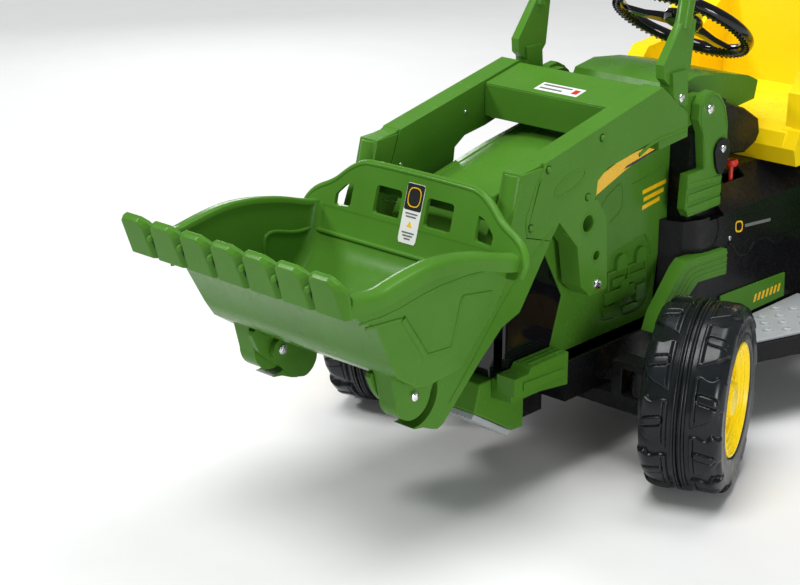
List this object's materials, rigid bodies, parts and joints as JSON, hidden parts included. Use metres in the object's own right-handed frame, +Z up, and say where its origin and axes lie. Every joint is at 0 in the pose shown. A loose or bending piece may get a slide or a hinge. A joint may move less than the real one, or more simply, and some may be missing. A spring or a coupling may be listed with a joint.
{
  "type": "toy front loader",
  "caption": "Ride-on toy tractor with a front loader: lifting boom, tilting scalloped bucket, steered front wheels and a driver's seat.",
  "frame": {"origin": "on the floor, in the middle of the footprint", "axes": "+Z up, -Y towards the nose and the bucket, +X to the driver's left"},
  "size_m": [0.819, 1.666, 0.7677],
  "materials": {
    "loader_green": "moulded plastic with a soft gloss",
    "body_black": "satin black moulded plastic",
    "gloss_black": "polished black plastic",
    "wheel_yellow": "glossy yellow moulded plastic",
    "tyre_black": "satin blow-moulded plastic tread",
    "plate_grey": "light grey satin plastic",
    "steel": "plain steel rod",
    "chrome": "bright plated bolt",
    "knob_red": "red moulded plastic"
  },
  "bodies": {
    "tractor": {"chassis_frame": "body_black", "front_axle_beam": "body_black", "front_bumper": "loader_green", "front_weight": "loader_green", "front_skid_plate": "plate_grey", "hood_top": "loader_green", "side_panel_left": "loader_green", "side_panel_right": "loader_green", "grille": "gloss_black", "body_shell": "body_black", "dash_console": "loader_green", "footplate_left": "plate_grey", "footplate_right": "plate_grey", "rocker_panel_left": "loader_green", "rocker_panel_right": "loader_green", "mudguard_strip_left": "loader_green", "mudguard_strip_right": "loader_green", "fender_left": "loader_green", "fender_right": "loader_green", "rear_axle": "steel", "gearmotor_left": "body_black", "gearmotor_right": "body_black", "battery": "plate_grey", "upright_left": "loader_green", "upright_right": "loader_green", "upright_hub_left": "body_black", "upright_hub_right": "body_black", "side_pod_left": "body_black", "side_pod_right": "body_black", "boom_pin_left": "chrome", "boom_pin_right": "chrome"},
    "boom": {"boom_arm_left": "loader_green", "boom_arm_right": "loader_green", "boom_leg_left": "loader_green", "boom_leg_right": "loader_green", "boom_crossmember": "loader_green", "boom_lower_bar": "loader_green", "loader_lever_left": "loader_green", "loader_lever_right": "loader_green", "bucket_pin_left": "chrome", "bucket_pin_right": "chrome"},
    "bucket": {"bucket_shell": "loader_green", "bucket_lip": "loader_green"},
    "steering": {"steering_wheel": "gloss_black", "steering_boss": "wheel_yellow", "steering_column": "steel"},
    "knuckle_left": {"steering_knuckle_left": "body_black"},
    "knuckle_right": {"steering_knuckle_right": "body_black"},
    "tie_rod_link": {"tie_rod": "steel"},
    "front_left_wheel": {"front_left_hub": "wheel_yellow", "front_left_tyre": "tyre_black"},
    "front_right_wheel": {"front_right_hub": "wheel_yellow", "front_right_tyre": "tyre_black"},
    "rear_left_wheel": {"rear_left_hub": "wheel_yellow", "rear_left_tyre": "tyre_black"},
    "rear_right_wheel": {"rear_right_hub": "wheel_yellow", "rear_right_tyre": "tyre_black"},
    "gear_selector": {"gear_lever": "knob_red"},
    "pedal": {"accelerator_pedal": "body_black"},
    "driver_seat": {"seat": "wheel_yellow"}
  },
  "joints": [
    {"name": "boom_lift", "type": "hinge", "parent": "tractor", "child": "boom", "pos_m": [0, 0.0561, 0.544], "axis": [1, 0, 0], "range_deg": [-35, 0]},
    {"name": "bucket_tilt", "type": "hinge", "parent": "boom", "child": "bucket", "pos_m": [0, -0.6309, 0.259], "axis": [1, 0, 0], "range_deg": [0, 60]},
    {"name": "steering_turn", "type": "hinge", "parent": "tractor", "child": "steering", "pos_m": [0, 0.2111, 0.64], "axis": [0, 0.5442, 0.839], "range_deg": [-83, 4]},
    {"name": "steer_left", "type": "hinge", "parent": "tractor", "child": "knuckle_left", "pos_m": [0.21644, -0.16732, 0.15], "axis": [0, 0, 1], "range_deg": [-46, 2.5]},
    {"name": "steer_right", "type": "hinge", "parent": "tractor", "child": "knuckle_right", "pos_m": [-0.21644, -0.16732, 0.15], "axis": [0, 0, 1], "range_deg": [-46, 2.5]},
    {"name": "tie_rod_shift", "type": "slide", "parent": "tractor", "child": "tie_rod_link", "axis": [1, 0, 0], "range_m": [-0.003, 0.041]},
    {"name": "front_left_spin", "type": "hinge", "parent": "knuckle_left", "child": "front_left_wheel", "pos_m": [0.3, -0.1339, 0.15], "axis": [0.9285, 0.3714, 0], "continuous": true},
    {"name": "front_right_spin", "type": "hinge", "parent": "knuckle_right", "child": "front_right_wheel", "pos_m": [-0.3, -0.20075, 0.15], "axis": [0.9285, 0.3714, 0], "continuous": true},
    {"name": "rear_left_spin", "type": "hinge", "parent": "tractor", "child": "rear_left_wheel", "pos_m": [0.3, 0.6061, 0.2], "axis": [1, 0, 0], "continuous": true},
    {"name": "rear_right_spin", "type": "hinge", "parent": "tractor", "child": "rear_right_wheel", "pos_m": [-0.3, 0.6061, 0.2], "axis": [1, 0, 0], "continuous": true},
    {"name": "gear_select", "type": "hinge", "parent": "tractor", "child": "gear_selector", "pos_m": [0.12, 0.2001, 0.33], "axis": [1, 0, 0], "range_deg": [-12, 12]},
    {"name": "pedal_press", "type": "hinge", "parent": "tractor", "child": "pedal", "pos_m": [-0.21, 0.2161, 0.1615], "axis": [1, 0, 0], "range_deg": [0, 11], "stiffness_Nm_per_rad": 1.5, "springref_deg": -20.05},
    {"name": "seat_slide", "type": "slide", "parent": "tractor", "child": "driver_seat", "axis": [0, 1, 0], "range_m": [0, 0.04]}
  ],
  "couplings": [
    {"joint": "steer_left", "follows": "steering_turn", "ratio": 0.55},
    {"joint": "steer_right", "follows": "steering_turn", "ratio": 0.55},
    {"joint": "tie_rod_shift", "follows": "steering_turn", "m_per_rad": -0.02677}
  ]
}
